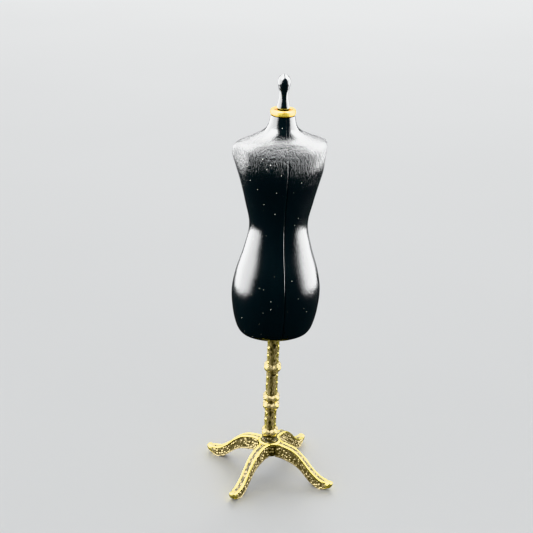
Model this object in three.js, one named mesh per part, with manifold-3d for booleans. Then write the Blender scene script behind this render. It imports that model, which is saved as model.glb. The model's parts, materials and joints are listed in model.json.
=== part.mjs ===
// Miniature dress form, 1:12 doll's-house scale: a lacquered torso in two halves, a gilt neck ring
// and a turned finial, standing on a cast column with four curved legs.
//
// Millimetres, +Z up. The origin is on the floor under the column's axis. The torso faces -Y, so
// the wearer's left side is +X. Every height below is measured from the floor.

import * as THREE from 'three';
import { mergeVertices } from 'three/addons/utils/BufferGeometryUtils.js';
import Module from 'manifold-3d';

const wasm = await Module();
wasm.setup();

// ---------------------------------------------------------------- driving dimensions

const joinGap = 0.05;        // left between two fixed pieces that meet
const roundSegments = 24;    // sides of every turned piece

// Torso outline from the hem up. Each station is a level section: its height, half its width, how
// far it reaches forward and back of the axis, and its fullness (2 is an ellipse, more is squarer).
const torsoStations = [
  { name: 'underside', z: 51.5, halfWidth: 9.2, front: 7.9, back: 7, fullness: 2.1 },
  { name: 'hem edge', z: 52.5, halfWidth: 11.1, front: 9.2, back: 8.3, fullness: 2.1 },
  { name: 'hem', z: 55, halfWidth: 12.5, front: 10, back: 9.2, fullness: 2.1 },
  { name: 'thigh', z: 60, halfWidth: 13.7, front: 10.7, back: 10.1, fullness: 2.1 },
  { name: 'hip', z: 66.5, halfWidth: 14.2, front: 10.9, back: 10.5, fullness: 2.1 },
  { name: 'high hip', z: 73, halfWidth: 13.1, front: 10.1, back: 9.6, fullness: 2.1 },
  { name: 'below waist', z: 81, halfWidth: 10.7, front: 8.0, back: 7.6, fullness: 2.1 },
  { name: 'waist', z: 88.5, halfWidth: 9.3, front: 7.1, back: 6.4, fullness: 2.1 },
  { name: 'ribs', z: 96, halfWidth: 10.8, front: 7.5, back: 6.8, fullness: 2.2 },
  { name: 'under bust', z: 103, halfWidth: 12.6, front: 8.5, back: 7.4, fullness: 2.3 },
  { name: 'bust', z: 108, halfWidth: 14.2, front: 8.8, back: 7.7, fullness: 2.4 },
  { name: 'armhole', z: 112, halfWidth: 15.4, front: 7.9, back: 7.5, fullness: 2.4 },
  { name: 'shoulder tip', z: 115, halfWidth: 14.1, front: 6.5, back: 6.6, fullness: 2.3 },
  { name: 'shoulder', z: 116.8, halfWidth: 9.6, front: 5.4, back: 5.8, fullness: 2.1 },
  { name: 'neck base', z: 118.6, halfWidth: 5.8, front: 4.8, back: 4.8, fullness: 2 },
  { name: 'neck', z: 120.5, halfWidth: 4.4, front: 4.2, back: 4.2, fullness: 2 },
  { name: 'neck top', z: 123.3, halfWidth: 3.75, front: 3.75, back: 3.75, fullness: 2 },
];
const torsoRows = 52;
const torsoArcSegments = 20;
const seamGap = 0.06;        // between the two halves
const wallThickness = 1.6;
const hemFloorTop = 53.6;
const waistWeb = { bottom: 85.5, top: 91.5 };
const cavityTop = 107;

// The armholes are flat ovals. Their faces turn towards the front and lean in a little below.
const armhole = { x: 14, y: -1.4, z: 111, turnForward: 20, leanDown: 3 };

const rod = { radius: 1, bottom: 7.05, top: 64, tipRadius: 0.6, taper: 0.5 };

const bush = {
  bore: 1.05, shank: 2.1, flange: 2.9, bottom: 50.9, shankBottom: 51.4, shankTop: 62.1, top: 62.6,
};
const bushHoleRadius = 2.2;
const bushBoss = { radius: 3.9, top: 62 };
const thrustWasher = { inner: 1.1, outer: 2.7, bottom: 50.45, top: 50.85 };

const dowelRadius = 0.9;
const dowelLength = 7;
const dowelClearance = 0.05;
const dowelPlaces = { shoulder_dowel: 112.5, waist_dowel: 88.5 };

const neckRing = {
  outer: 3.85, inner: 1.25, recess: 2.7, rounding: 0.3, bottom: 123.4, floor: 124.1, top: 125.2,
};
const finialPeg = { radius: 1, bottom: 118.6 };
const pegHole = { radius: 1.08, bottom: 118.3 };
const finialSeat = { radius: 1.5, z: 124.2 };
// The finial from its low bead, over the waist and the bulb, to near its tip: radius and height.
const finialCrown = [
  [1.75, 124.6], [2.05, 125.7], [1.72, 127.3], [1.4, 128.8], [1.5, 130.5], [1.78, 132.1], [1.98, 133.5],
  [1.68, 134.7], [1.12, 135.3], [0.6, 135.7],
];
const finialTip = { radius: 0.3, z: 136 };

const shaftRadius = 2;
const sleeveBore = 1.1;
const columnFoot = 13.75;
const columnSplit = 26.5;
const columnTop = 50.4;
const beadRings = {
  foot: { z: 15.2, radius: 2.75, halfHeight: 1.25 },
  pairLower: { z: 25.15, radius: 2.75, halfHeight: 1.3 },
  pairUpper: { z: 27.9, radius: 2.8, halfHeight: 1.3 },
  single: { z: 39, radius: 2.85, halfHeight: 1.35 },
};

const hub = {
  bore: 1.15, bottom: 6.9, side: 3.5, rim: 3.62, rimTop: 12, dish: 11.7,
  collarFoot: 3, collarNeck: 2.6, collarTop: 13.7,
};
const nutRecess = { radius: 2.4, top: 8.9 };
const hubWasher = { inner: 1.15, outer: 2.25, bottom: 8.4, top: 8.85 };
const hubNut = { acrossCorners: 4.2, bore: 1.1, bottom: 7.05, top: 8.35 };

const legThickness = 2.6;
const legBevel = 0.35;
const legRootRadius = 3.68;
const legTenon = { inner: 2, outer: 5, halfWidth: 0.8, bottom: 9.2, top: 11.2 };
const legAngles = { leg_front_left: -45, leg_rear_left: 45, leg_rear_right: 135, leg_front_right: -135 };
// Leg edges as distance out from the axis and height. The foot rests on a short flat pad.
const legTopEdge = [
  [3, 11.9], [6.5, 11.7], [10, 10.75], [13.2, 8.5], [16, 5.8], [18.7, 3.85], [21.2, 3.1], [23.5, 3.3],
];
const legUnderEdge = [[18.5, 0], [16.5, 1.3], [13.5, 4], [10.7, 5.7], [7.5, 6.5], [3, 6.95]];
const footPadEnd = 20.7;
const toe = { x: 23.3, z: 2.15, radius: 1.25 };
const toeUnderside = [[22.1, 0.4], [23.2, 1.05]];

// ---------------------------------------------------------------- finishes

function finish(color, roughness, metalness) {
  return new THREE.MeshStandardMaterial({ color, roughness, metalness });
}

const blackLacquer = () => finish(0x0b1011, 0.1, 0);
const giltBrass = () => finish(0xe0b63c, 0.25, 1);
const antiqueBrass = () => finish(0x9c8c58, 0.4, 1);
const plainBrass = () => finish(0xc2a14d, 0.35, 1);
const brightSteel = () => finish(0xb8bcc0, 0.3, 1);

// ---------------------------------------------------------------- solids and booleans

// A closed mesh with its repeated corners merged and its empty triangles dropped.
function closedMesh(source) {
  const bare = source.clone();
  bare.deleteAttribute('normal');
  bare.deleteAttribute('uv');
  const merged = mergeVertices(bare, 1e-4);
  const corners = merged.index.array;
  const kept = [];
  for (let i = 0; i < corners.length; i += 3) {
    const [a, b, c] = [corners[i], corners[i + 1], corners[i + 2]];
    if (a !== b && b !== c && c !== a) kept.push(a, b, c);
  }
  merged.setIndex(kept);
  return merged;
}

function solid(geometry) {
  const mesh = closedMesh(geometry);
  return new wasm.Manifold(new wasm.Mesh({
    numProp: 3,
    vertProperties: new Float32Array(mesh.attributes.position.array),
    triVerts: new Uint32Array(mesh.index.array),
  }));
}

function geometryOf(manifold) {
  const mesh = manifold.getMesh();
  const geometry = new THREE.BufferGeometry();
  geometry.setAttribute('position', new THREE.BufferAttribute(mesh.vertProperties, mesh.numProp));
  geometry.setIndex(new THREE.BufferAttribute(mesh.triVerts, 1));
  geometry.computeVertexNormals();
  return geometry;
}

function box(size, centre) {
  return new THREE.BoxGeometry(...size).translate(...centre);
}

// An upright cylinder between two heights.
function post(radius, bottom, top, segments = roundSegments) {
  return new THREE.CylinderGeometry(radius, radius, top - bottom, segments)
    .rotateX(Math.PI / 2)
    .translate(0, 0, (bottom + top) / 2);
}

// A piece turned about Z from an outline of [radius, height] pairs. The outline runs upwards on the
// outside. It starts and ends on the axis, or closes on itself.
function turned(outline, segments = roundSegments) {
  const points = outline.map(([radius, height]) => new THREE.Vector2(radius, height));
  return new THREE.LatheGeometry(points, segments).rotateX(Math.PI / 2);
}

// A turned piece with a straight hole: the outside outline, then back down the bore.
function turnedTube(outside, bore, segments = roundSegments) {
  const top = outside[outside.length - 1][1];
  const bottom = outside[0][1];
  return turned([[bore, bottom], ...outside, [bore, top], [bore, bottom]], segments);
}

// A closed skin over a stack of rings with equal numbers of points, flat at both ends.
function loft(rings) {
  const count = rings[0].length;
  const points = rings.flat();
  const faces = [];
  for (let row = 0; row + 1 < rings.length; row += 1) {
    for (let i = 0; i < count; i += 1) {
      const next = (i + 1) % count;
      const low = row * count;
      const high = low + count;
      faces.push(low + i, low + next, high + next, low + i, high + next, high + i);
    }
  }
  for (const [ring, isTop] of [[0, false], [rings.length - 1, true]]) {
    const centre = new THREE.Vector3();
    rings[ring].forEach((point) => centre.addScaledVector(point, 1 / count));
    points.push(centre);
    for (let i = 0; i < count; i += 1) {
      const [a, b] = [ring * count + i, ring * count + ((i + 1) % count)];
      faces.push(...(isTop ? [a, b, points.length - 1] : [b, a, points.length - 1]));
    }
  }
  const geometry = new THREE.BufferGeometry().setFromPoints(points);
  geometry.setIndex(faces);
  return geometry;
}

// ---------------------------------------------------------------- torso

function stationCurve(first, second) {
  const points = torsoStations.map((s) => new THREE.Vector3(s[first], s[second], s.z));
  return new THREE.CatmullRomCurve3(points, false, 'catmullrom');
}

const widthAndFront = stationCurve('halfWidth', 'front');
const backAndFullness = stationCurve('back', 'fullness');

// How far along the stations a height lies, from 0 at the underside to 1 at the neck's top.
function stationShareAt(z) {
  let low = 0;
  let high = 1;
  for (let step = 0; step < 30; step += 1) {
    const middle = (low + high) / 2;
    if (widthAndFront.getPoint(middle).z < z) low = middle;
    else high = middle;
  }
  return (low + high) / 2;
}

// Part of the torso's level section, pulled in by inset. Turn 0 is the wearer's left (+X) and a
// quarter turn is the back (+Y).
function torsoSection(share, inset, fromTurn, toTurn, segments) {
  const { x: halfWidth, y: front, z } = widthAndFront.getPoint(share);
  const { x: back, y: fullness } = backAndFullness.getPoint(share);
  const ring = [];
  for (let i = 0; i <= segments; i += 1) {
    const angle = THREE.MathUtils.lerp(fromTurn, toTurn, i / segments) * 2 * Math.PI;
    const [c, s] = [Math.cos(angle), Math.sin(angle)];
    const depth = s < 0 ? front : back;
    ring.push(new THREE.Vector3(
      Math.sign(c) * Math.abs(c) ** (2 / fullness) * (halfWidth - inset),
      Math.sign(s) * Math.abs(s) ** (2 / fullness) * (depth - inset),
      z,
    ));
  }
  return ring;
}

function leftHalfSkin() {
  const rings = [];
  for (let row = 0; row <= torsoRows; row += 1) {
    rings.push(torsoSection(row / torsoRows, 0, -0.25, 0.25, torsoArcSegments));
  }
  return loft(rings);
}

// The hollow between two heights, as a whole section, so that it opens at the seam.
function cavity(bottom, top) {
  const rows = 14;
  const segments = 24;
  const rings = [];
  for (let row = 0; row <= rows; row += 1) {
    const share = stationShareAt(THREE.MathUtils.lerp(bottom, top, row / rows));
    rings.push(torsoSection(share, wallThickness, 0, 1, segments).slice(0, segments));
  }
  return loft(rings);
}

function dowelHole(z) {
  const length = dowelLength + 4 * dowelClearance;
  const radius = dowelRadius + dowelClearance;
  return new THREE.CylinderGeometry(radius, radius, length, 16).rotateZ(Math.PI / 2).translate(0, 0, z);
}

// Everything outside the flat oval where the left arm would start.
function armholeCut() {
  const depth = 10;
  const reach = 40;
  return new THREE.BoxGeometry(depth, reach, reach)
    .translate(depth / 2, 0, 0)
    .rotateY(THREE.MathUtils.degToRad(armhole.leanDown))
    .rotateZ(-THREE.MathUtils.degToRad(armhole.turnForward))
    .translate(armhole.x, armhole.y, armhole.z);
}

function torsoHalfLeft() {
  const underside = torsoStations[0].z;
  const beyond = 1;
  const { radius, top } = bushBoss;
  const halfBoss = solid(post(radius, underside, top))
    .intersect(solid(box([2 * radius, 2 * radius, 2 * top], [radius, 0, 0])));
  let half = solid(leftHalfSkin())
    .subtract(solid(cavity(hemFloorTop, waistWeb.bottom)))
    .subtract(solid(cavity(waistWeb.top, cavityTop)))
    .add(halfBoss)
    .subtract(solid(post(bushHoleRadius, underside - beyond, top + beyond)))
    .subtract(solid(post(pegHole.radius, pegHole.bottom, neckRing.bottom + beyond)))
    .subtract(solid(armholeCut()));
  for (const z of Object.values(dowelPlaces)) half = half.subtract(solid(dowelHole(z)));
  return half;
}

function torsoLeft() {
  return geometryOf(torsoHalfLeft().translate([seamGap / 2, 0, 0]));
}

function torsoRight() {
  return geometryOf(torsoHalfLeft().mirror([1, 0, 0]).translate([-seamGap / 2, 0, 0]));
}

function dowel() {
  return new THREE.CylinderGeometry(dowelRadius, dowelRadius, dowelLength, 16).rotateZ(Math.PI / 2);
}

// ---------------------------------------------------------------- neck ring and finial

function neckRingGeometry() {
  const { outer, inner, recess, rounding, bottom, floor, top } = neckRing;
  return turned([
    [inner, bottom], [outer - rounding, bottom], [outer, bottom + rounding], [outer, top - rounding],
    [outer - rounding, top], [recess + rounding / 2, top], [recess, top - rounding],
    [recess - rounding, floor], [inner, floor], [inner, bottom],
  ]);
}

// From the peg up: a low bead, a waist and a long bulb that ends in a small blunt tip.
function finialGeometry() {
  const crown = new THREE.SplineCurve(finialCrown.map(([radius, z]) => new THREE.Vector2(radius, z)));
  return turned([
    [0, finialPeg.bottom], [finialPeg.radius, finialPeg.bottom], [finialPeg.radius, finialSeat.z],
    [finialSeat.radius, finialSeat.z],
    ...crown.getPoints(20).map((point) => [point.x, point.y]),
    [finialTip.radius, finialTip.z], [0, finialTip.z],
  ]);
}

// ---------------------------------------------------------------- pivot inside the hem

function bushGeometry() {
  return turnedTube([
    [bush.flange, bush.bottom], [bush.flange, bush.shankBottom], [bush.shank, bush.shankBottom],
    [bush.shank, bush.shankTop], [bush.flange, bush.shankTop], [bush.flange, bush.top],
  ], bush.bore);
}

function washerGeometry({ inner, outer, bottom, top }) {
  return turnedTube([[outer, bottom], [outer, top]], inner);
}

// ---------------------------------------------------------------- column

function rodGeometry() {
  const { radius, bottom, top, tipRadius, taper } = rod;
  return turned([[0, bottom], [radius, bottom], [radius, top - taper], [tipRadius, top], [0, top]]);
}

// The outline over one bead ring, from the shaft out and back.
function beadOutline({ z, radius, halfHeight }) {
  const steps = 8;
  const outline = [];
  for (let i = 0; i <= steps; i += 1) {
    const angle = Math.PI * (i / steps - 0.5);
    const out = (radius - shaftRadius) * Math.cos(angle);
    outline.push([shaftRadius + out, z + halfHeight * Math.sin(angle)]);
  }
  return outline;
}

function columnSleeve(bottom, rings, top) {
  return turnedTube([[shaftRadius, bottom], ...rings.flatMap(beadOutline), [shaftRadius, top]], sleeveBore);
}

// ---------------------------------------------------------------- base

// A tenon, or with some clearance the slot that takes it, along +X.
function tenonBlock(clearance) {
  const { inner, outer, halfWidth, bottom, top } = legTenon;
  const size = [outer - inner + clearance, 2 * (halfWidth + clearance), top - bottom + 2 * clearance];
  return box(size, [(inner + outer - clearance) / 2, 0, (bottom + top) / 2]);
}

function hubGeometry() {
  const { bore, bottom, side, rim, rimTop, dish, collarFoot, collarNeck, collarTop } = hub;
  const chamfer = 0.8;
  const rimHeight = 0.6;
  const rimRounding = 0.25;
  let body = solid(turnedTube([
    [side - chamfer, bottom], [side, bottom + chamfer], [side, rimTop - rimHeight - rimRounding],
    [rim, rimTop - rimHeight], [rim, rimTop - rimRounding], [rim - rimRounding, rimTop],
    [rim - 2 * rimRounding, dish], [collarFoot, dish], [collarNeck, collarTop],
  ], bore)).subtract(solid(post(nutRecess.radius, 0, nutRecess.top)));
  for (const angle of Object.values(legAngles)) {
    body = body.subtract(solid(tenonBlock(joinGap)).rotate([0, 0, angle]));
  }
  return geometryOf(body);
}

function nutGeometry() {
  const { acrossCorners, bore, bottom, top } = hubNut;
  const hexagon = solid(post(acrossCorners / 2, bottom, top, 6));
  return geometryOf(hexagon.subtract(solid(post(bore, bottom - 1, top + 1))));
}

function edgeCurve(points) {
  return new THREE.SplineCurve(points.map(([x, z]) => new THREE.Vector2(x, z)));
}

// The side view of a leg, drawn along +X with height as Y.
function legOutline() {
  const over = edgeCurve(legTopEdge).getPoints(20);
  const toeTip = [];
  for (let degrees = 60; degrees >= -60; degrees -= 20) {
    const angle = THREE.MathUtils.degToRad(degrees);
    const [out, up] = [toe.radius * Math.cos(angle), toe.radius * Math.sin(angle)];
    toeTip.push(new THREE.Vector2(toe.x + out, toe.z + up));
  }
  const underToe = edgeCurve([...toeUnderside].reverse().concat([[footPadEnd, 0]])).getPoints(4);
  const under = edgeCurve(legUnderEdge).getPoints(16);
  return new THREE.Shape([...over, ...toeTip, ...underToe, ...under]);
}

// A leg along +X, hollowed at its root to sit against the round hub.
function legGeometry() {
  const plate = new THREE.ExtrudeGeometry(legOutline(), {
    depth: legThickness - 2 * legBevel,
    bevelThickness: legBevel,
    bevelSize: legBevel,
    bevelOffset: -legBevel,
    bevelSegments: 2,
  }).translate(0, 0, legBevel - legThickness / 2).rotateX(Math.PI / 2);
  const seat = solid(post(legRootRadius, 0, 20, 2 * roundSegments));
  return geometryOf(solid(plate).subtract(seat).add(solid(tenonBlock(0))));
}

// ---------------------------------------------------------------- assembly

const dressForm = new THREE.Group();

function place(name, geometry, material, parent = dressForm) {
  const mesh = new THREE.Mesh(geometry, material);
  mesh.name = name;
  parent.add(mesh);
  return mesh;
}

const torso = new THREE.Group();
dressForm.add(torso);
place('finial', finialGeometry(), blackLacquer(), torso);
place('neck_ring', neckRingGeometry(), giltBrass(), torso);
place('torso_left', torsoLeft(), blackLacquer(), torso);
place('torso_right', torsoRight(), blackLacquer(), torso);
for (const [name, z] of Object.entries(dowelPlaces)) {
  place(name, dowel(), plainBrass(), torso).position.z = z;
}

place('pivot_bush', bushGeometry(), plainBrass());

const stand = new THREE.Group();
dressForm.add(stand);
place('thrust_washer', washerGeometry(thrustWasher), plainBrass(), stand);
place('column_rod', rodGeometry(), brightSteel(), stand);
place('column_upper', columnSleeve(
  columnSplit + joinGap,
  [beadRings.pairUpper, beadRings.single],
  columnTop,
), antiqueBrass(), stand);
place('column_lower', columnSleeve(
  columnFoot,
  [beadRings.foot, beadRings.pairLower],
  columnSplit,
), antiqueBrass(), stand);
place('base_hub', hubGeometry(), antiqueBrass(), stand);
place('hub_washer', washerGeometry(hubWasher), plainBrass(), stand);
place('hub_nut', nutGeometry(), plainBrass(), stand);
for (const [name, degrees] of Object.entries(legAngles)) {
  place(name, legGeometry(), antiqueBrass(), stand).rotation.z = THREE.MathUtils.degToRad(degrees);
}

export default dressForm;
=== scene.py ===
"""Looks for the miniature dress form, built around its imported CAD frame.

Blender works in metres. The object's own sizes are given in millimetres and pass through MM.
The origin is on the floor under the column, +Z is up, and the torso faces -Y.
"""

import json
import math

import bpy
import numpy as np
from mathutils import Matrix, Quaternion, Vector, noise

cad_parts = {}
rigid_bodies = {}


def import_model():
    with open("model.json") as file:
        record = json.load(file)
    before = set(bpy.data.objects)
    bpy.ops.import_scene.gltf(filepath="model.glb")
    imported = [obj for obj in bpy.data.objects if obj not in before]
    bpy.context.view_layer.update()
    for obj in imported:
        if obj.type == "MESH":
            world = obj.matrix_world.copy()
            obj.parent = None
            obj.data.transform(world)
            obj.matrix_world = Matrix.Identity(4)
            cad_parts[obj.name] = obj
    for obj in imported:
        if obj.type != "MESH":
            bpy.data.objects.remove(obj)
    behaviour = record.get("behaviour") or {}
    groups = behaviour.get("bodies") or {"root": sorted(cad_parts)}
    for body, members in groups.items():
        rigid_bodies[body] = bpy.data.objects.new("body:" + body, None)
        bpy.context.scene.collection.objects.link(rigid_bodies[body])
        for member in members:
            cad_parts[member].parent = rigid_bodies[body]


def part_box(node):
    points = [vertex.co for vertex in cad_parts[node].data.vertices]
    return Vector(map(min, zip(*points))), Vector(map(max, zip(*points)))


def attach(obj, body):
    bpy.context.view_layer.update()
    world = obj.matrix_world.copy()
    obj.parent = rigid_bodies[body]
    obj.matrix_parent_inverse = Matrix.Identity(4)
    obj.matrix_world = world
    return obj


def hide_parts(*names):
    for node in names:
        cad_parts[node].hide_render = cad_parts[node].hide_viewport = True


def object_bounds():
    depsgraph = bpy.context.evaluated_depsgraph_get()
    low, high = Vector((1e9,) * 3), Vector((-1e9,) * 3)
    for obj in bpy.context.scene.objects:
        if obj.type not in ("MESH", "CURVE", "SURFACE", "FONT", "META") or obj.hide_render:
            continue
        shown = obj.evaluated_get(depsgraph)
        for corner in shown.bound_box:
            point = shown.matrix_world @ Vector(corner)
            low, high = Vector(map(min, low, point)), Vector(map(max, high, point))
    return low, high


MM = 0.001

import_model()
cad_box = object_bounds()


# ------------------------------------------------------------------ sizes, in millimetres

# Level sections of a torso half, from the hem up: height above the underside, half width, reach
# forward of the axis, reach back of it, and fullness (2 is an ellipse, more is squarer).
TORSO_SECTIONS = {
    "underside": (0.0, 9.2, 7.9, 7.0, 2.1),
    "hem edge": (1.0, 11.1, 9.2, 8.3, 2.1),
    "hem": (3.5, 12.5, 10.0, 9.2, 2.1),
    "thigh": (8.5, 13.7, 10.7, 10.1, 2.1),
    "hip": (15.0, 14.2, 10.9, 10.5, 2.1),
    "high hip": (21.5, 13.1, 10.1, 9.6, 2.1),
    "below waist": (29.5, 10.7, 8.0, 7.6, 2.1),
    "waist": (37.0, 9.3, 7.1, 6.4, 2.1),
    "ribs": (44.5, 10.8, 7.5, 6.8, 2.2),
    "under bust": (51.5, 12.6, 8.5, 7.4, 2.3),
    "bust": (56.5, 14.2, 8.8, 7.7, 2.4),
    "armhole": (60.5, 15.4, 7.9, 7.5, 2.4),
    "shoulder tip": (63.5, 14.1, 6.5, 6.6, 2.3),
    "shoulder": (65.3, 9.6, 5.4, 5.8, 2.1),
    "neck base": (67.1, 5.8, 4.8, 4.8, 2.0),
    "neck": (69.0, 4.4, 4.2, 4.2, 2.0),
    "neck top": (71.8, 3.75, 3.75, 3.75, 2.0),
}
TORSO_ROWS = 420
TORSO_COLUMNS = 110
WALL = 1.6

SEAM_GAP = 0.06
SEAM_EDGE_RADIUS = 0.5
SEAM_LIP = 0.18            # how far the right half stands proud of the left at the seam
SEAM_LIP_WIDTH = 0.8
SEAM_FADE = (57.5, 60.5)   # heights above the underside over which the groove closes
SEAM_LEFT_OPEN = 0.06      # how much of the groove is left above that

# The armhole is a flat oval. Its plane passes through this point, measured from the underside.
ARMHOLE_POINT = (14.0, -1.4, 59.5)
ARMHOLE_TURN_FORWARD = 20
ARMHOLE_LEAN_DOWN = 3
ARMHOLE_SOFTNESS = 0.3
ARMHOLE_FADE = (38.0, 42.0)   # heights above the underside over which the plane begins to press

# The hollows inside the torso. Heights are above its underside.
BUSH_HOLE_RADIUS = 2.2
BOSS_RADIUS = 3.9
BOSS_TOP = 10.5
LOWER_HOLLOW = (2.1, 34.0)
UPPER_HOLLOW = (40.0, 55.5)
PEG_HOLE_RADIUS = 1.08
PEG_HOLE_BOTTOM = 66.8
DOWELS = ("shoulder_dowel", "waist_dowel")
DOWEL_HOLE_RADIUS = 0.95
NEAR_AXIS = 0.02           # radius of the tiny flat end where an outline meets the axis

# Heights above the floor between which the grain of the lacquer changes.
GRAIN_RISE = (98.0, 112.0)     # from slight on the hips to full on the chest
GRAIN_FALL = (116.5, 119.0)    # from full on the shoulders to almost none on the neck

LOBES = 4
LOBE_TURN = math.radians(-106)   # one of the four hollows between the column's ridges
SLEEVE_BORE = 1.1
SHAFT_RIDGE = 2.35
SHAFT_HOLLOW = 1.85
LEAF_TIER = 2.6            # height of one tier of leaves

# The bead rings, by sleeve: their heights, how far they reach on and between lobes, and half their
# own heights.
BEAD_RINGS = {
    "column_lower": [
        {"centre": 15.2, "lobe": 3.15, "hollow": 2.5, "half_height": 1.5},
        {"centre": 25.1, "lobe": 3.1, "hollow": 2.5, "half_height": 1.42},
    ],
    "column_upper": [
        {"centre": 27.95, "lobe": 3.15, "hollow": 2.5, "half_height": 1.42},
        {"centre": 39.0, "lobe": 3.2, "hollow": 2.6, "half_height": 1.6},
    ],
}

PEBBLE_SIZE = 0.75         # of the texture on the hub and legs
PEBBLE_RISE_ON_TOP = 0.1
PEBBLE_RISE_ON_SIDE = 0.26

RIM_TOP = 12.0
RIM_RADIUS = 3.7
NUT_RECESS = (2.4, 8.9)    # radius, and height of its ceiling

LEG_HALF_THICKNESS = 1.3
LEG_BEAD = 0.37            # radius of the two raised edges along a leg's top
LEG_GROOVE = 0.2           # how deep the top is sunk between them
LEG_SIDE_TOP = 0.62        # how far down the side the raised edge reaches
LEG_RECESS = 0.22          # how far each side is set back
LEG_FILLET = 2.5           # radius of the sweep from each side of a leg into the hub
LEG_STEPS = 260
# Matching points along a leg, as distance from the axis and height.
LEG_TOP = [
    (3.3, 11.85), (6.5, 11.7), (10.0, 10.75), (13.2, 8.5),
    (16.0, 5.8), (18.7, 3.85), (21.2, 3.1), (23.2, 3.2),
]
LEG_UNDER = [
    (3.3, 7.0), (6.8, 6.6), (9.8, 6.0), (12.3, 4.8),
    (14.8, 2.7), (17.2, 0.8), (20.2, -0.15), (22.8, 0.65),
]
TOE_SPAN = (0.84, 0.98)    # shares of a leg's length over which it becomes a round knob
TOE_ROUNDNESS = 0.85
TOE_REACH = 1.2            # how far the rounded end goes beyond the last of those points
LEG_DEGREES = {"leg_front_left": -45, "leg_rear_left": 45, "leg_rear_right": 135, "leg_front_right": -135}

CAMERA_AZIMUTH = -16.3     # degrees from the front; the wearer's right is negative

# Relief that the brass materials read, from 0 in a recess to 1 on a rubbed ridge. The gilt reads it too,
# and on the neck ring its low values are painted shade.
PLAIN_RELIEF = 0.7
BORE_RELIEF = 0.3


# ------------------------------------------------------------------ small helpers

def smoothstep(low, high, value):
    share = np.clip((value - low) / (high - low), 0.0, 1.0)
    return share * share * (3.0 - 2.0 * share)


def spline(points, share):
    """Catmull-Rom through evenly spaced points; share is an array running from 0 to 1."""
    points = np.asarray(points, float)
    last = len(points) - 1
    place = np.clip(np.atleast_1d(share) * last, 0.0, last)
    start = np.minimum(place.astype(int), last - 1)
    t = (place - start)[:, None]
    padded = np.vstack([2 * points[0] - points[1], points, 2 * points[-1] - points[-2]])
    before, here, after, beyond = (padded[start + k] for k in range(4))
    return 0.5 * (
        2 * here
        + (after - before) * t
        + (2 * before - 5 * here + 4 * after - beyond) * t ** 2
        + (3 * here - before - 3 * after + beyond) * t ** 3
    )


def closed_grid(grid, joined_ends=False):
    """Points and faces of rings stacked as (rows, columns, 3).

    The ends are closed by one face each, or joined to one another to leave a hole through.
    """
    rows, columns, _ = grid.shape
    faces = []
    for row in range(rows if joined_ends else rows - 1):
        for column in range(columns):
            beside = (column + 1) % columns
            low = row * columns
            high = (row + 1) % rows * columns
            faces.append((low + column, low + beside, high + beside, high + column))
    if not joined_ends:
        faces.append(tuple(reversed(range(columns))))
        faces.append(tuple((rows - 1) * columns + column for column in range(columns)))
    return grid.reshape(-1, 3), faces


def new_mesh(name, points, faces):
    mesh = bpy.data.meshes.new(name)
    mesh.from_pydata((np.asarray(points, float) * MM).tolist(), [], faces)
    return mesh


def make_piece(name, points, faces, material, body, node,
               sharp_degrees=35, relief=None, hollow=None):
    """A smooth piece in metres, from points in millimetres, that replaces a CAD node.

    relief is a value for each point that the brass materials read. hollow is a mesh to cut away.
    """
    mesh = new_mesh(name, points, faces)
    if relief is not None:
        attribute = mesh.attributes.new("relief", "FLOAT", "POINT")
        attribute.data.foreach_set("value", np.asarray(relief, np.float32).ravel())
    mesh.materials.append(material)
    piece = bpy.data.objects.new(name, mesh)
    bpy.context.scene.collection.objects.link(piece)
    if hollow is not None:
        cut_away(piece, hollow)
    piece.data.polygons.foreach_set("use_smooth", [True] * len(piece.data.polygons))
    piece.data.set_sharp_from_angle(angle=math.radians(sharp_degrees))
    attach(piece, body)
    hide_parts(node)
    return piece


def cut_away(piece, hollow):
    cutter = bpy.data.objects.new("cutter", hollow)
    bpy.context.scene.collection.objects.link(cutter)
    modifier = piece.modifiers.new("hollow", "BOOLEAN")
    modifier.operation = "DIFFERENCE"
    modifier.solver = "EXACT"
    modifier.object = cutter
    shown = piece.evaluated_get(bpy.context.evaluated_depsgraph_get())
    cut = bpy.data.meshes.new_from_object(shown)
    piece.modifiers.clear()
    piece.data = cut
    bpy.data.objects.remove(cutter)


def low_z(node):
    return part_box(node)[0].z / MM


def high_z(node):
    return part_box(node)[1].z / MM


def around(angle, radius, height):
    return np.stack([radius * np.cos(angle), radius * np.sin(angle), height], axis=-1)


def finely(outline, step):
    """The same outline with points no further apart than step."""
    dense = [outline[0]]
    for start, end in zip(outline, outline[1:]):
        pieces = max(1, math.ceil(math.dist(start, end) / step))
        shares = np.arange(1, pieces + 1)[:, None] / pieces
        dense += [tuple(point) for point in np.array(start) + (np.array(end) - np.array(start)) * shares]
    return dense


def turned(outline, segments, change=None, inside=()):
    """Points, faces and relief of a piece turned about Z from an outline of (radius, height).

    The outline runs up the outside, and inside runs down through the bore. Without a bore the
    outline starts and ends near the axis. change(angle, radius, height) gives the outside new radii
    and relief values.
    """
    def rings(some_outline):
        radius, height = np.asarray(some_outline, float).T[..., None] * np.ones(segments)
        return np.linspace(0, 2 * np.pi, segments, endpoint=False) + 0 * radius, radius, height

    angle, radius, height = rings(outline)
    relief = np.full(radius.shape, PLAIN_RELIEF)
    if change:
        radius, relief = change(angle, radius, height)
    grid = around(angle, radius, height)
    if inside:
        grid = np.concatenate([grid, around(*rings(inside))])
        relief = np.concatenate([relief, np.full((len(inside), segments), BORE_RELIEF)])
    points, faces = closed_grid(grid, joined_ends=bool(inside))
    return points, faces, relief


# ------------------------------------------------------------------ surface noise

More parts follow.
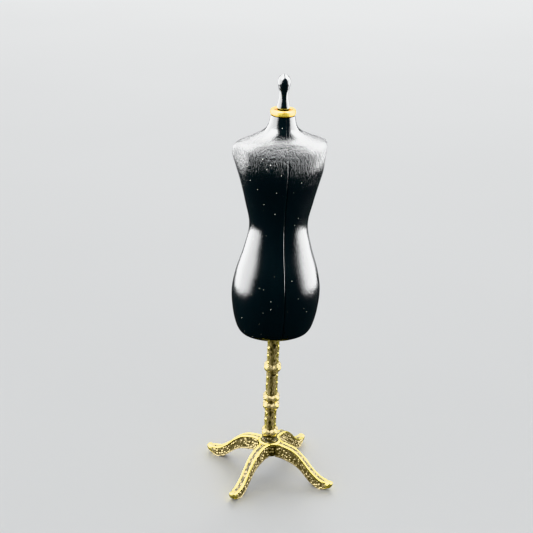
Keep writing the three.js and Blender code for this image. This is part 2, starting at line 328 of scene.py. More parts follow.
def rough_cast(points, scale, seed):
    """Soft noise of about -1 to 1 at each point, for the unevenness of the casting."""
    shift = Vector((seed * 7.3, seed * 3.1, seed * 5.7))
    flat = points.reshape(-1, 3) * scale
    dimension, lacunarity, octaves = 1.0, 2.0, 3
    values = [noise.fractal(Vector(point) + shift, dimension, lacunarity, octaves) for point in flat]
    return np.array(values).reshape(points.shape[:-1])


def pebbles(points, size, seed):
    """1 on the top of each small round bump, falling to 0 on the ground between bumps."""
    shift = Vector((seed * 2.9, seed * 8.1, seed * 4.3))
    flat = points.reshape(-1, 3) / size
    nearest = [noise.voronoi(Vector(point) + shift)[0][0] for point in flat]
    top_edge, ground_edge = 0.18, 0.62
    return 1 - smoothstep(top_edge, ground_edge, np.array(nearest).reshape(points.shape[:-1]))


# ------------------------------------------------------------------ materials

class Finish:
    """A new material with its Principled shader and short ways to add and join nodes."""

    def __init__(self, name):
        self.material = bpy.data.materials.new(name)
        self.material.use_nodes = True
        self.tree = self.material.node_tree
        self.shader = self.tree.nodes["Principled BSDF"]

    def add(self, kind, inputs, **settings):
        node = self.tree.nodes.new(kind)
        for key, value in settings.items():
            setattr(node, key, value)
        for key, value in inputs.items():
            self.put(node.inputs[key], value)
        return node.outputs

    def put(self, socket, value):
        if isinstance(value, bpy.types.NodeSocket):
            self.tree.links.new(value, socket)
        else:
            socket.default_value = value

    def set(self, **inputs):
        """Sets the shader's inputs; an underscore in a name stands for a space."""
        for key, value in inputs.items():
            self.put(self.shader.inputs[key.replace("_", " ")], value)

    def noise(self, scale, detail=3.0, roughness=0.55):
        """Noise over the piece's own coordinates, with its own scale along each axis, per metre."""
        place = self.add("ShaderNodeTexCoord", {})["Object"]
        stretched = self.add("ShaderNodeMapping", {"Vector": place, "Scale": scale})["Vector"]
        inputs = {"Vector": stretched, "Scale": 1.0, "Detail": detail, "Roughness": roughness}
        return self.add("ShaderNodeTexNoise", inputs)["Fac"]

    def remap(self, value, from_low, from_high, to_low=0.0, to_high=1.0):
        limits = {"From Min": from_low, "From Max": from_high, "To Min": to_low, "To Max": to_high}
        return self.add("ShaderNodeMapRange", {"Value": value, **limits})["Result"]

    def math(self, operation, first, second):
        return self.add("ShaderNodeMath", {0: first, 1: second}, operation=operation)["Value"]

    def mix(self, share, first, second):
        """A colour between two; the node's colour sockets come after its number sockets."""
        node = self.tree.nodes.new("ShaderNodeMix")
        node.data_type = "RGBA"
        self.put(node.inputs[0], share)
        self.put(node.inputs[6], first)
        self.put(node.inputs[7], second)
        return node.outputs[2]

    def ramp(self, value, stops):
        colour = self.add("ShaderNodeValToRGB", {"Fac": value})["Color"]
        elements = colour.node.color_ramp.elements
        elements[0].position, elements[1].position = stops[0][0], stops[-1][0]
        for position, _ in stops[1:-1]:
            elements.new(position)
        for element, (_, shade) in zip(elements, stops):
            element.color = (*shade, 1)
        return colour

    def bump(self, height, strength, distance, under=None):
        inputs = {"Height": height, "Strength": strength, "Distance": distance}
        if under is not None:
            inputs["Normal"] = under
        return self.add("ShaderNodeBump", inputs)["Normal"]

    def specks(self, spacing, size, share):
        """1 on sparse round specks and 0 elsewhere.

        spacing is the width of a cell in metres, size a speck's radius as a share of that, and share
        how many of the cells hold a speck.
        """
        place = self.add("ShaderNodeTexCoord", {})["Object"]
        cells = self.add("ShaderNodeTexVoronoi", {"Vector": place, "Scale": 1 / spacing})
        near = self.remap(cells["Distance"], size, size * 0.6)
        chosen = self.add("ShaderNodeSeparateColor", {"Color": cells["Color"]})["Red"]
        return self.math("MULTIPLY", near, self.math("GREATER_THAN", chosen, 1 - share))


def black_lacquer(name, chest_grain):
    """Deep gloss black over a grain that is strongest on the chest, with a few specks of dust."""
    finish = Finish(name)
    place = finish.add("ShaderNodeTexCoord", {})["Object"]
    height = finish.add("ShaderNodeSeparateXYZ", {"Vector": place})["Z"]
    hip_share, neck_share = 0.2, 0.1
    rise = [level * MM for level in GRAIN_RISE]
    fall = [level * MM for level in GRAIN_FALL]
    below_neck = finish.remap(height, *rise, hip_share * chest_grain, chest_grain)
    grain = finish.math("MULTIPLY", below_neck, finish.remap(height, *fall, 1.0, neck_share))
    tint = finish.noise((300, 300, 90))
    black = finish.mix(tint, (0.0012, 0.0022, 0.0026, 1), (0.0022, 0.0042, 0.005, 1))
    dust = finish.specks(spacing=0.0011, size=0.12, share=0.15)
    smudge = finish.noise((220, 220, 120), detail=4)
    fibres = finish.noise((3800, 3800, 1300), detail=4, roughness=0.6)
    peel = finish.noise((1000, 1000, 600), detail=2)
    brushed = finish.noise((3000, 3000, 800), detail=2)
    fibrous = finish.bump(fibres, grain, distance=0.00005)
    finish.set(
        Base_Color=finish.mix(dust, black, (0.7, 0.7, 0.64, 1)),
        Roughness=finish.remap(smudge, 0.35, 0.7, 0.2, 0.27),
        Normal=finish.bump(peel, grain, distance=0.000015, under=fibrous),
        IOR=1.6,
        Coat_Weight=1.0,
        Coat_IOR=1.6,
        Coat_Roughness=0.11,
        Coat_Normal=finish.bump(brushed, grain, distance=0.00045),
    )
    return finish.material


def antique_brass(name):
    """Cast brass rubbed yellow on its ridges and left olive in its recesses, by the relief attribute."""
    finish = Finish(name)
    relief = finish.add("ShaderNodeAttribute", {}, attribute_name="relief")["Fac"]
    blotch = finish.remap(finish.noise((900, 900, 900), detail=4), 0.3, 0.7, -0.1, 0.1)
    wear = finish.math("ADD", relief, blotch)
    colour = finish.ramp(wear, [
        (0.05, (0.03, 0.025, 0.012)),
        (0.3, (0.13, 0.108, 0.05)),
        (0.55, (0.38, 0.31, 0.16)),
        (0.75, (0.64, 0.54, 0.27)),
        (0.95, (0.92, 0.79, 0.22)),
    ])
    pits = finish.noise((3000, 3000, 3000), detail=3)
    finish.set(
        Base_Color=colour,
        Metallic=finish.remap(wear, 0.15, 0.95, 0.35, 0.88),
        Roughness=finish.remap(wear, 0.2, 0.9, 0.5, 0.2),
        Normal=finish.bump(pits, strength=0.35, distance=0.00004),
    )
    return finish.material


def gilt(name):
    """Bright gilding, browner where it is thin, with painted shade in the recess and along the bottom
    edge, carried by the relief attribute.
    """
    finish = Finish(name)
    relief = finish.add("ShaderNodeAttribute", {}, attribute_name="relief")["Fac"]
    thin = finish.noise((900, 900, 1800), detail=4)
    dimples = finish.noise((1800, 1800, 900), detail=3)
    share = finish.math("ADD", relief, finish.remap(thin, 0.3, 0.7, -0.25, 0.2))
    colour = finish.ramp(share, [
        (0.15, (0.3, 0.12, 0.015)),
        (0.55, (0.85, 0.5, 0.08)),
        (0.8, (1.0, 0.8, 0.17)),
    ])
    finish.set(
        Base_Color=colour,
        Metallic=0.8,
        Roughness=finish.remap(thin, 0.3, 0.7, 0.18, 0.32),
        Normal=finish.bump(dimples, strength=0.3, distance=0.00005),
    )
    return finish.material


def turned_metal(name, light, dark, roughness):
    """Plain turned metal: fine rings from the lathe and a little tarnish."""
    finish = Finish(name)
    tarnish = finish.remap(finish.noise((500, 500, 500), detail=4), 0.35, 0.7)
    rings = finish.noise((150, 150, 9000), detail=2)
    finish.set(
        Base_Color=finish.mix(tarnish, light, dark),
        Metallic=1.0,
        Roughness=finish.remap(rings, 0.3, 0.7, roughness, roughness + 0.15),
        Normal=finish.bump(rings, strength=0.3, distance=0.00002),
    )
    return finish.material


lacquer = black_lacquer("black_lacquer", chest_grain=1.0)
turned_lacquer = black_lacquer("black_lacquer_turned", chest_grain=0.05)
cast_brass = antique_brass("antique_brass")
gilding = gilt("gilt")
turned_brass = turned_metal("turned_brass", (0.8, 0.6, 0.26, 1), (0.5, 0.36, 0.15, 1), roughness=0.24)
bright_steel = turned_metal("steel", (0.62, 0.63, 0.64, 1), (0.42, 0.42, 0.42, 1), roughness=0.2)


# ------------------------------------------------------------------ torso

def torso_rows(shares):
    """Height, half width, front, back and fullness, each as a column, along the sections."""
    rows = spline(list(TORSO_SECTIONS.values()), shares)
    return [rows[:, k][:, None] for k in range(5)]


def section_points(rows, angle, inset=0.0):
    """Level sections through the given angles; 0 is the side and a quarter turn back is the front."""
    height, half_width, front, back, fullness = rows
    across = np.sign(np.cos(angle)) * np.abs(np.cos(angle)) ** (2 / fullness) * (half_width - inset)
    depth = np.where(np.sin(angle) < 0, front, back) - inset
    along = np.sign(np.sin(angle)) * np.abs(np.sin(angle)) ** (2 / fullness) * depth
    return np.stack([across, along, np.broadcast_to(height, across.shape)], axis=-1)


def half_torso(side):
    """The closed skin of one half; side is +1 for the wearer's left and -1 for the right."""
    at_seam = np.array([0, 0.15, 0.35, 0.6, 0.9, 1.25, 1.7, 2.3, 3.0])
    degrees = np.concatenate([at_seam, np.linspace(4.0, 176.0, TORSO_COLUMNS), 180 - at_seam[::-1]])
    angle = np.radians(degrees - 90)[None, :]
    points = section_points(torso_rows(np.linspace(0, 1, TORSO_ROWS)), angle)
    points = flatten_armhole(points)
    across, height = points[..., 0], points[..., 2]
    openness = 1 - (1 - SEAM_LEFT_OPEN) * smoothstep(*SEAM_FADE, height)
    missing = np.clip(1 - across / SEAM_EDGE_RADIUS, 0, 1)
    rolled = SEAM_EDGE_RADIUS * (1 - np.sqrt(1 - missing ** 2)) * openness
    lip = SEAM_LIP * np.exp(-(across / SEAM_LIP_WIDTH) ** 2) * openness * (side < 0)
    points[..., 1] -= np.sign(points[..., 1]) * (rolled - lip)
    points[..., 0] = side * (across + SEAM_GAP / 2)
    points[..., 2] += low_z("torso_left")
    return points if side > 0 else points[:, ::-1]


def flatten_armhole(points):
    """Presses everything beyond the armhole's plane onto it, with a soft edge."""
    turn, lean = math.radians(ARMHOLE_TURN_FORWARD), math.radians(ARMHOLE_LEAN_DOWN)
    normal = np.array([math.cos(turn) * math.cos(lean), -math.sin(turn) * math.cos(lean), -math.sin(lean)])
    beyond = (points - np.array(ARMHOLE_POINT)) @ normal
    kept = -ARMHOLE_SOFTNESS * np.logaddexp(0, -beyond / ARMHOLE_SOFTNESS)
    push = (kept - beyond) * smoothstep(*ARMHOLE_FADE, points[..., 2])
    return points + push[..., None] * normal


def dowel(node):
    """A cross dowel's height above the floor, its reach to each side and its radius."""
    low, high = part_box(node)
    return (low.z + high.z) / 2 / MM, high.x / MM, (high.y - low.y) / 2 / MM


def torso_hollow():
    """What is missing inside the torso: both hollows, the bush's hole, the peg's and the dowels'."""
    segments = 64
    angle = np.linspace(0, 2 * np.pi, segments, endpoint=False)[None, :]
    clearance = 0.1

    def ring(radius, height):
        return around(angle, np.full(angle.shape, radius), np.full(angle.shape, float(height)))

    def wall(bottom, top):
        dense = np.linspace(0, 1, 400)
        heights = torso_rows(dense)[0][:, 0]
        shares = np.interp(np.linspace(bottom, top, 40), heights, dense)
        return section_points(torso_rows(shares), angle, WALL)

    below, above = -2, TORSO_SECTIONS["neck top"][0] + 2
    lower = [ring(NEAR_AXIS, below), ring(BUSH_HOLE_RADIUS, below), ring(BUSH_HOLE_RADIUS, BOSS_TOP)]
    lower += [ring(BOSS_RADIUS, BOSS_TOP), ring(BOSS_RADIUS, LOWER_HOLLOW[0])]
    lower += [wall(*LOWER_HOLLOW), ring(NEAR_AXIS, LOWER_HOLLOW[1])]
    upper = [ring(NEAR_AXIS, UPPER_HOLLOW[0]), wall(*UPPER_HOLLOW), ring(NEAR_AXIS, UPPER_HOLLOW[1])]
    peg = [ring(NEAR_AXIS, PEG_HOLE_BOTTOM), ring(PEG_HOLE_RADIUS, PEG_HOLE_BOTTOM)]
    peg += [ring(PEG_HOLE_RADIUS, above), ring(NEAR_AXIS, above)]
    solids = [closed_grid(np.concatenate(rings)) for rings in (lower, upper, peg)]
    for node in DOWELS:
        level, half_length, _ = dowel(node)
        height = level - low_z("torso_left")
        reach = half_length + clearance
        hole = np.concatenate([ring(NEAR_AXIS, -reach), ring(DOWEL_HOLE_RADIUS, -reach),
                               ring(DOWEL_HOLE_RADIUS, reach), ring(NEAR_AXIS, reach)])
        hole = hole[..., [2, 0, 1]] + np.array([0, 0, height])
        solids.append(closed_grid(hole))
    points, faces = [], []
    for some_points, some_faces in solids:
        start = sum(len(part) for part in points)
        points.append(some_points + np.array([0, 0, low_z("torso_left")]))
        faces += [tuple(start + corner for corner in face) for face in some_faces]
    return new_mesh("torso_hollow", np.concatenate(points), faces)


def build_torso():
    hollow = torso_hollow()
    for node, side in (("torso_left", 1), ("torso_right", -1)):
        points, faces = closed_grid(half_torso(side))
        make_piece(node + "_half", points, faces, lacquer, "torso", node,
                   sharp_degrees=75, hollow=hollow)
    bevel = 0.12
    for node in DOWELS:
        height, reach, radius = dowel(node)
        outline = [(NEAR_AXIS, -reach), (radius - bevel, -reach), (radius, bevel - reach),
                   (radius, reach - bevel), (radius - bevel, reach), (NEAR_AXIS, reach)]
        points, faces, _ = turned(outline, segments=48)
        points = points[:, [2, 0, 1]] + np.array([0, 0, height])
        make_piece(node + "_pin", points, faces, turned_brass, "torso", node)


# ------------------------------------------------------------------ neck ring and finial

def build_finial():
    """A low bead, a waist and a long bulb with a blunt tip, on a peg that runs down into the neck."""
    sunk, peg, chamfer = 0.9, 1.0, 0.1
    low, seat = low_z("finial"), high_z("neck_ring") - sunk
    tip = high_z("finial") - seat
    crown = spline([(1.75, 0.3), (2.05, 1.4), (1.72, 3.0), (1.4, 4.5), (1.5, 6.2), (1.78, 7.8),
                    (1.98, 9.2), (1.68, tip - 1.3), (1.12, tip - 0.65), (0.55, tip - 0.2), (0.03, tip)],
                   np.linspace(0, 1, 110))
    outline = [(0.05, low), (peg - chamfer, low), (peg, low + chamfer), (peg, seat), (1.55, seat + 0.05)]
    outline += [(radius, seat + rise) for radius, rise in crown]
    points, faces, _ = turned(outline, segments=96)
    make_piece("finial_turned", points, faces, turned_lacquer, "torso", "finial")


def build_neck_ring():
    low, high = low_z("neck_ring"), high_z("neck_ring")
    outside = [(3.5, low), (3.72, low + 0.12), (3.84, low + 0.4), (3.87, low + 0.9), (3.8, high - 0.38),
               (3.6, high - 0.12), (3.3, high), (2.98, high - 0.04), (2.75, high - 0.22),
               (2.62, high - 0.65), (2.3, high - 1.0), (1.3, high - 1.05)]

    def change(angle, radius, height):
        wobble = 0.03 * np.sin(3 * angle + 1.0) + 0.02 * np.sin(7 * angle)
        # Painted shade for the gilt: a low value inside the recess round the finial, and a drop over the
        # bottom half millimetre where the ring sits on the neck.
        relief = np.where(radius > 2.7, 0.8, 0.1) - 0.3 * smoothstep(0.5, 0.0, height - low)
        return radius + np.where(radius > 2.0, wobble, 0), relief

    hole = [(1.25, high - 1.05), (1.25, low)]
    points, faces, relief = turned(finely(outside, 0.12), 120, change, hole)
    make_piece("neck_ring_gilt", points, faces, gilding, "torso", "neck_ring", relief=relief)


# ------------------------------------------------------------------ column

def ridges(angle):
    """1 on each of the casting's four ridges and 0 in the hollows between them."""
    return 0.5 - 0.5 * np.cos(LOBES * (angle - LOBE_TURN))


def leaves(angle, height, low):
    """Stacked leaves on the ridges. Each swells upwards to a ledge that is highest at its middle."""
    ridge = np.floor(LOBES * (angle - LOBE_TURN) / (2 * np.pi))
    middle = ridges(angle)
    stagger, droop = 0.3, 0.6
    phase = (height - low) / LEAF_TIER + stagger * (ridge % 2) + droop * (1 - middle)
    rise = phase - np.floor(phase)
    return rise ** 2 * (1 - smoothstep(0.8, 1.0, rise)) * smoothstep(0.15, 0.7, middle)


def column_surface(rings, low, high):
    """The change that turns a plain tube into the cast shaft with its bead rings."""
    leaf_rise, bark_depth, pit_depth, pit_size, end_step = 0.2, 0.1, 0.25, 1.25, 0.12

    def change(angle, radius, height):
        place = around(angle, np.full(radius.shape, SHAFT_RIDGE), height)
        ridge = ridges(angle)
        bark = rough_cast(place * np.array([1, 1, 0.45]), 1.9, low)
        pits = pebbles(place * np.array([1, 1, 0.8]), pit_size, low) ** 2 * (1 - 0.75 * ridge)
        leaf = leaves(angle, height, low)
        shaft = SHAFT_HOLLOW + (SHAFT_RIDGE - SHAFT_HOLLOW) * ridge ** 0.8
        shaft += leaf_rise * leaf + bark_depth * bark - pit_depth * pits - bark_depth
        relief = 0.25 + 0.58 * ridge + 0.3 * leaf + 0.25 * bark - 0.6 * pits
        for ring in rings:
            swell, ring_relief = bead_ring(angle, place, height, **ring)
            relief = np.where(swell > shaft, ring_relief, relief)
            shaft = np.maximum(shaft, swell)
        above_foot = smoothstep(low, low + end_step, height)
        below_head = 1 - smoothstep(high - end_step, high, height)
        return shaft - end_step * (1 - np.minimum(above_foot, below_head)), relief

    return change


def bead_ring(angle, place, height, centre, lobe, hollow, half_height):
    """Four fused beads round the shaft: how far they reach at each point, and their relief."""
    ridge = ridges(angle) ** 0.65
    share = np.clip(1 - ((height - centre) / (half_height * (0.6 + 0.4 * ridge))) ** 2, 0, None)
    dents = smoothstep(0.2, 0.6, rough_cast(place, scale=2.2, seed=lobe + half_height))
    core, dent_depth = 0.75 * SHAFT_HOLLOW, 0.1
    reach = core + (hollow + (lobe - hollow) * ridge - core) * np.sqrt(share) - dent_depth * dents
    relief = 0.5 + 0.4 * ridge * share ** 0.5 - 0.45 * dents
    return np.where(share > 0, reach, 0), relief


def build_column():
    """The two cast sleeves."""
    for node, rings in BEAD_RINGS.items():
        low, high = low_z(node), high_z(node)
        outside = finely([(SHAFT_RIDGE, low), (SHAFT_RIDGE, high)], 0.09)
        hole = [(SLEEVE_BORE, high), (SLEEVE_BORE, low)]
        points, faces, relief = turned(outside, 144, column_surface(rings, low, high), hole)
        make_piece(node + "_cast", points, faces, cast_brass, "stand", node, relief=relief)


# ------------------------------------------------------------------ base

def build_hub():
    """The hub: a pebbled wall, a smooth raised rim and a rough collar rising inside it."""
    low, high = low_z("base_hub"), high_z("base_hub")
    outside = [(2.9, low), (3.3, low + 0.2), (3.45, low + 0.8), (3.35, RIM_TOP - 1.2)]
    for degrees in range(-60, 151, 15):
        bend = math.radians(degrees)
        out, up = LEG_BEAD * math.cos(bend), LEG_BEAD * math.sin(bend)
        outside.append((RIM_RADIUS - LEG_BEAD + out, RIM_TOP - LEG_BEAD + up))
    outside += [(2.95, RIM_TOP - 0.35), (2.75, RIM_TOP + 0.3), (2.6, RIM_TOP + 1.0), (2.5, high)]

    stone_rise, lump_rise = 0.2, 0.1

    def change(angle, radius, height):
        place = around(angle, radius, height)
        on_rim = smoothstep(RIM_TOP - 0.9, RIM_TOP - 0.7, height) * smoothstep(2.96, 3.1, radius)
        on_wall = smoothstep(RIM_TOP - 0.6, RIM_TOP - 0.9, height)
        stones = pebbles(place * np.array([0.8, 0.8, 1.1]), PEBBLE_SIZE, seed=3)
        lump = rough_cast(place, scale=1.2, seed=5)
        rough = (1 - on_rim) * (stone_rise * stones - stone_rise / 2 + lump_rise * lump)
        relief = on_rim * 0.95 + (1 - on_rim) * (0.05 + (0.3 + 0.35 * on_wall) * stones + 0.2 * lump)
        return radius + rough, relief

    bore, (recess, ceiling) = 1.15, NUT_RECESS
    inside = [(bore, high), (bore, ceiling), (recess, ceiling), (recess, low)]
    points, faces, relief = turned(finely(outside, 0.09), 160, change, inside)
    make_piece("base_hub_cast", points, faces, cast_brass, "stand", "base_hub",
               relief=relief)


def leg_section():
    """Points round a leg's section, each with how it is placed and finished.

    across and drop are millimetres from the middle and down from the top; share runs down the side
    from 0 to 1; stipple is how strongly the point takes the pebbled texture; wear is its relief.
    """
    edge = LEG_HALF_THICKNESS - LEG_BEAD
    half_loop = []
    for across in np.linspace(0, edge - LEG_BEAD * 0.8, 9):
        half_loop.append({"across": across, "drop": LEG_GROOVE, "share": 0, "stipple": 0.8, "wear": 0.3})
    for degrees in np.linspace(150, -28, 14):
        bend = math.radians(degrees)
        half_loop.append({
            "across": edge + LEG_BEAD * math.cos(bend), "drop": LEG_BEAD * (1 - math.sin(bend)),
            "share": 0, "stipple": 0, "wear": 1.0,
        })
    for share in np.linspace(0.03, 1, 42):
        recess = float(smoothstep(0.0, 0.07, share) * (1 - smoothstep(0.86, 0.97, share)))
        half_loop.append({
            "across": LEG_HALF_THICKNESS - LEG_RECESS * recess - 0.04, "drop": LEG_SIDE_TOP,
            "share": share, "stipple": recess, "wear": 0.5,
        })
    for across in np.linspace(LEG_HALF_THICKNESS * 0.9, 0, 5):
        half_loop.append({"across": across, "drop": LEG_SIDE_TOP, "share": 1, "stipple": 0, "wear": 0.4})
    painted_reflection = [{**point, "across": -point["across"]} for point in reversed(half_loop[1:-1])]
    return half_loop + painted_reflection


def leg_surface(seed):
    """A leg along +X as a grid of points, with its relief, ordered so that its faces point out."""
    loop = leg_section()
    across, drop, share, stipple, wear = (
        np.array([point[key] for point in loop])[None, :]
        for key in ("across", "drop", "share", "stipple", "wear")
    )
    steps = np.linspace(0, 1, LEG_STEPS)
    top, under = spline(LEG_TOP, steps), spline(LEG_UNDER, steps)
    depth = np.linalg.norm(top - under, axis=1)[:, None]
    up = (top - under) / depth
    middle = (top + under) / 2
    along = np.concatenate([[0], np.cumsum(np.linalg.norm(np.diff(middle, axis=0), axis=1))])
    down = drop + (depth - drop) * share
    y = across * (1 + root_flare(top[:, :1]) * (1 - 0.4 * share) / LEG_HALF_THICKNESS)
    toe = smoothstep(*TOE_SPAN, steps)[:, None]
    y, down = rounded(y, down, depth, TOE_ROUNDNESS * toe)
    along = np.broadcast_to(along[:, None], y.shape)
    on_top = share == 0
    stretch, sides_apart, lump_rise = 0.75, 3.0, 0.03
    sideways = np.where(on_top, y, np.sign(across) * sides_apart)
    stones = pebbles(np.stack([stretch * along, down, sideways], axis=-1), PEBBLE_SIZE, seed)
    lump = rough_cast(np.stack([along, y, down], axis=-1), scale=0.8, seed=seed)
    stipple = stipple * (1 - toe)
    pebble_rise = np.where(on_top, PEBBLE_RISE_ON_TOP, PEBBLE_RISE_ON_SIDE)
    raised = stipple * pebble_rise * stones + lump_rise * lump
    y = y + np.where(on_top, 0, np.sign(across)) * raised
    down = down - on_top * raised
    x = top[:, :1] - up[:, :1] * down
    z = top[:, 1:] - up[:, 1:] * down
    relief = wear + stipple * (0.5 * stones - 0.22) + 0.08 * lump
    relief = relief + toe * (0.9 - relief)
    return np.stack([x, y, z], axis=-1)[:, ::-1], relief[:, ::-1]


def root_flare(reach):
    """How much wider each side of a leg is, close to the hub, to sweep into the rim's circle."""
    sweep_centre = LEG_HALF_THICKNESS - LEG_BEAD + LEG_FILLET
    sweep_start = math.sqrt((RIM_RADIUS + LEG_FILLET) ** 2 - sweep_centre ** 2)
    missing = np.clip(sweep_start - reach, 0, LEG_FILLET)
    return LEG_FILLET - np.sqrt(LEG_FILLET ** 2 - missing ** 2)


def rounded(y, down, depth, share):
    """Moves the points of a leg's section by a share of the way onto an oval of the same size."""
    middle = depth / 2
    sideways, upright = y / LEG_HALF_THICKNESS, (down - middle) / middle
    reach = np.hypot(sideways, upright)
    oval_y = LEG_HALF_THICKNESS * sideways / reach
    oval_down = middle * (1 + upright / reach)
    return y + share * (oval_y - y), down + share * (oval_down - down)


def round_toe(grid, relief):
    """Closes the toe with rings that shrink to a round end."""
    last, a_little_before = grid[-1], grid[-6]
    centre = last.mean(axis=0)
    heading = centre - a_little_before.mean(axis=0)
    heading = heading / np.linalg.norm(heading)
    rings, reliefs = [grid], [relief]
    for bend in np.radians(np.linspace(6, 87, 16)):
        shrunk = (last - centre) * math.cos(bend)
        rings.append((centre + shrunk + heading * TOE_REACH * math.sin(bend))[None])
        reliefs.append(relief[-1:])
    return np.concatenate(rings), np.concatenate(reliefs)


def build_legs():
    for seed, (node, degrees) in enumerate(LEG_DEGREES.items()):
        grid, relief = round_toe(*leg_surface(seed + 1))
        grid[..., 2] = np.maximum(grid[..., 2], 0.0)
        turn = math.radians(degrees)
        x, y = grid[..., 0].copy(), grid[..., 1].copy()
        grid[..., 0] = x * math.cos(turn) - y * math.sin(turn)
        grid[..., 1] = x * math.sin(turn) + y * math.cos(turn)
        points, faces = closed_grid(grid)
        make_piece(node + "_cast", points, faces, cast_brass, "stand", node, relief=relief)


# ------------------------------------------------------------------ pivot and fasteners

def bevelled(low, high, radius, bevel=0.06):
    """The outside of a flat disc with its edges broken."""
    return [(radius - bevel, low), (radius, low + bevel), (radius, high - bevel), (radius - bevel, high)]


def bore_through(node, radius):
    return [(radius, high_z(node)), (radius, low_z(node))]


def build_washers():
    for node, bore in (("thrust_washer", 1.1), ("hub_washer", 1.15)):
        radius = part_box(node)[1].x / MM
        outside = bevelled(low_z(node), high_z(node), radius)
        points, faces, _ = turned(outside, 96, inside=bore_through(node, bore))
        make_piece(node + "_turned", points, faces, turned_brass, "stand", node)


def build_bush():
    """A shank between two flanges, which are trapped by the two halves of the torso."""
    low, high = low_z("pivot_bush"), high_z("pivot_bush")
    flange, shank, thick, bore = 2.9, 2.1, 0.5, 1.05
    outside = bevelled(low, low + thick, flange)
    outside += [(shank, low + thick), (shank, high - thick)]
    outside += bevelled(high - thick, high, flange)
    points, faces, _ = turned(outside, 96, inside=bore_through("pivot_bush", bore))
    make_piece("pivot_bush_turned", points, faces, turned_brass, "pivot", "pivot_bush")


def build_rod():
    """The steel rod: threaded for the nut, plain above, and tapered at its tip."""
    low, high = low_z("column_rod"), high_z("column_rod")
    pitch, crest, root, turns = 0.25, 1.0, 0.87, 7
    outline = [(0.03, low), (0.75, low)]
    for turn in range(turns):
        outline += [(root, low + pitch * (turn + 0.5)), (crest, low + pitch * (turn + 1))]
    outline += [(crest, high - 0.5), (0.6, high), (0.03, high)]
    points, faces, _ = turned(outline, segments=96)
    make_piece("column_rod_drawn", points, faces, bright_steel, "stand", "column_rod")


def build_nut():
    """A hexagon nut with its corners turned off."""
    low, high = low_z("hub_nut"), high_z("hub_nut")
    corner = (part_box("hub_nut")[1].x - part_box("hub_nut")[0].x) / 2 / MM
    flat = corner * math.cos(math.pi / 6)
    chamfer, bore = 0.25, 1.1
    outside = [(flat, low), (corner, low + chamfer), (corner, high - chamfer), (flat, high)]

    def change(angle, radius, height):
        off_flat = (angle + math.pi / 6) % (math.pi / 3) - math.pi / 6
        return np.minimum(radius, flat / np.cos(off_flat)), np.full(radius.shape, PLAIN_RELIEF)

    points, faces, _ = turned(finely(outside, 0.1), 120, change, bore_through("hub_nut", bore))
    make_piece("hub_nut_turned", points, faces, turned_brass, "stand", "hub_nut")


# ------------------------------------------------------------------ studio

def build_floor():
    """A pale matt floor that fades into the sky.

    In reflections it is painted dim, so that the lacquer stays black, except some way behind the object,
    where it is painted bright: a painted reflection.
    """
    finish = Finish("pale_floor")
    paper = finish.mix(finish.noise((5, 5, 5), detail=2), (0.68, 0.68, 0.67, 1), (0.71, 0.71, 0.7, 1))
    # Painted reflection: the floor's colour as seen in reflections only, dark near the object and bright
    # from some way behind it.
    place = finish.add("ShaderNodeTexCoord", {})["Object"]
    turn = (0, 0, math.radians(-CAMERA_AZIMUTH))
    facing_camera = finish.add("ShaderNodeMapping", {"Vector": place, "Rotation": turn})["Vector"]
    behind = finish.add("ShaderNodeSeparateXYZ", {"Vector": facing_camera})["Y"]
    lit_from, fully_lit = 0.22, 0.36
    painted_light_behind = finish.remap(behind, lit_from, fully_lit)
    painted_reflection = finish.mix(painted_light_behind, (0.05, 0.05, 0.05, 1), (0.8, 0.8, 0.8, 1))
    reflected = finish.add("ShaderNodeLightPath", {})["Is Glossy Ray"]
    distance = finish.add("ShaderNodeVectorMath", {0: place}, operation="LENGTH")["Value"]
    fade_start, fade_end = 1.2, 2.4
    finish.set(
        Base_Color=finish.mix(reflected, paper, painted_reflection),
        Alpha=finish.remap(distance, fade_start, fade_end, 1.0, 0.0),
        Roughness=0.7,
        Specular_IOR_Level=0.1,
    )
    half = 2500
    corners = [(-half, -half, 0), (half, -half, 0), (half, half, 0), (-half, half, 0)]
    floor = bpy.data.objects.new("floor", new_mesh("floor", corners, [(0, 1, 2, 3)]))
    floor.data.materials.append(finish.material)
    bpy.context.scene.collection.objects.link(floor)
    return floor


def fade_edges(light, margin):
    """Dims a rectangular light towards its edges, over a margin that is a share of its size."""
    light.use_nodes = True
    nodes, links = light.node_tree.nodes, light.node_tree.links
    place = nodes.new("ShaderNodeSeparateXYZ")
    links.new(nodes.new("ShaderNodeNewGeometry").outputs["Parametric"], place.inputs["Vector"])
    strength = nodes.new("ShaderNodeMath")
    strength.operation = "MULTIPLY"
    for side, axis in enumerate("XY"):
        from_edge = nodes.new("ShaderNodeMath")
        from_edge.operation = "PINGPONG"
        from_edge.inputs[1].default_value = 0.5
        fade = nodes.new("ShaderNodeMapRange")
        fade.interpolation_type = "SMOOTHSTEP"
        fade.inputs["From Max"].default_value = margin
        links.new(place.outputs[axis], from_edge.inputs[0])
        links.new(from_edge.outputs["Value"], fade.inputs["Value"])
        links.new(fade.outputs["Result"], strength.inputs[side])
    links.new(strength.outputs["Value"], nodes["Emission"].inputs["Strength"])


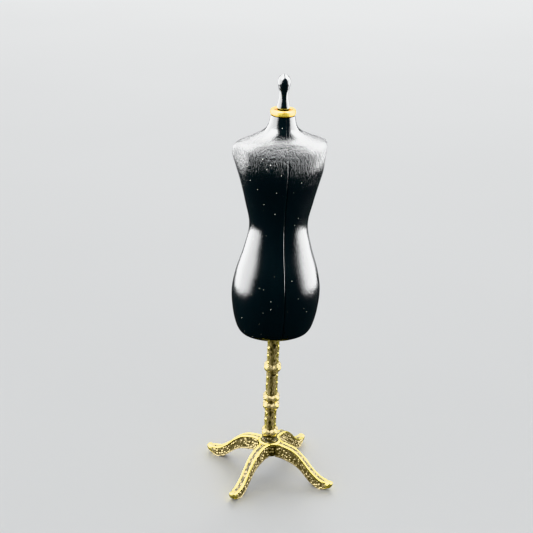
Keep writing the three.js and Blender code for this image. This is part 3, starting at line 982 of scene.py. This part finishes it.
def softbox(name, azimuth, elevation, distance, size, power, centre, not_on=(), margin=0.2):
    """A soft-edged light facing the centre, which leaves out the things in not_on.

    The azimuth is from the camera's side, anticlockwise.
    """
    light = bpy.data.lights.new(name, "AREA")
    light.shape = "RECTANGLE"
    light.size, light.size_y = size
    light.energy = power
    fade_edges(light, margin)
    lamp = bpy.data.objects.new(name, light)
    turn, rise = math.radians(CAMERA_AZIMUTH + azimuth), math.radians(elevation)
    away = Vector((math.sin(turn) * math.cos(rise), -math.cos(turn) * math.cos(rise), math.sin(rise)))
    lamp.location = centre + away * distance
    lamp.rotation_euler = away.to_track_quat("Z", "Y").to_euler()
    lamp.visible_camera = False
    bpy.context.scene.collection.objects.link(lamp)
    if not_on:
        unlit = bpy.data.collections.new(name + "_unlit")
        for index, thing in enumerate(not_on):
            unlit.objects.link(thing)
            unlit.collection_objects[index].light_linking.link_state = "EXCLUDE"
        lamp.light_linking.receiver_collection = unlit


def build_lights(floor):
    """Tall softboxes on both sides of the camera, smaller ones over them, one far behind, and a sky."""
    chest = Vector((0, 0, cad_box[1].z * 0.8))
    castings = [thing for thing in bpy.data.objects if thing.name.endswith("_cast")]
    softbox("softbox_left", azimuth=-92, elevation=25, distance=0.2, size=(0.6, 0.84), power=10.5,
            centre=chest, not_on=[floor])
    softbox("softbox_right", azimuth=100, elevation=25, distance=0.2, size=(0.36, 0.84), power=6.5,
            centre=chest, not_on=[floor])
    softbox("softbox_over_left", azimuth=-56, elevation=56, distance=0.3, size=(0.38, 0.38), power=3.0,
            centre=chest, not_on=[floor, *castings], margin=0.15)
    softbox("softbox_over_right", azimuth=84, elevation=48, distance=0.3, size=(0.34, 0.34), power=2.4,
            centre=chest, not_on=[floor, *castings])
    softbox("softbox_back", azimuth=178, elevation=32, distance=3.0, size=(3.0, 3.0), power=80.0,
            centre=chest)
    world = bpy.data.worlds.new("studio")
    bpy.context.scene.world = world
    world.use_nodes = True
    nodes, links = world.node_tree.nodes, world.node_tree.links
    background = nodes["Background"]
    background.inputs["Color"].default_value = (0.95, 0.97, 1.0, 1)
    path = nodes.new("ShaderNodeLightPath")
    strength = nodes.new("ShaderNodeMapRange")
    sky_strength, reflected_strength = 0.8, 0.06
    strength.inputs["To Min"].default_value = sky_strength
    strength.inputs["To Max"].default_value = reflected_strength
    links.new(path.outputs["Is Glossy Ray"], strength.inputs["Value"])
    links.new(strength.outputs["Result"], background.inputs["Strength"])


def build_camera():
    """From the front, round to the wearer's right, looking down a little and slightly rolled."""
    azimuth, distance, height = math.radians(CAMERA_AZIMUTH), 0.371, 0.217
    look_down, look_aside, roll = math.radians(21.1), math.radians(0.5), math.radians(2.2)
    camera_data = bpy.data.cameras.new("camera")
    camera_data.lens = 84.6
    camera_data.sensor_width = 36.0
    camera_data.clip_start = 0.01
    camera = bpy.data.objects.new("camera", camera_data)
    camera.location = (math.sin(azimuth) * distance, -math.cos(azimuth) * distance, height)
    upright, sideways = Vector((0, 0, 1)), Vector((1, 0, 0))
    heading = Quaternion(upright, azimuth + look_aside)
    pitch = Quaternion(sideways, math.pi / 2 - look_down)
    camera.rotation_euler = (heading @ pitch @ Quaternion(upright, roll)).to_euler()
    bpy.context.scene.collection.objects.link(camera)
    bpy.context.scene.camera = camera


build_torso()
build_finial()
build_neck_ring()
build_column()
build_hub()
build_legs()
build_washers()
build_bush()
build_rod()
build_nut()
build_lights(build_floor())
build_camera()
bpy.context.scene.view_settings.view_transform = "Khronos PBR Neutral"
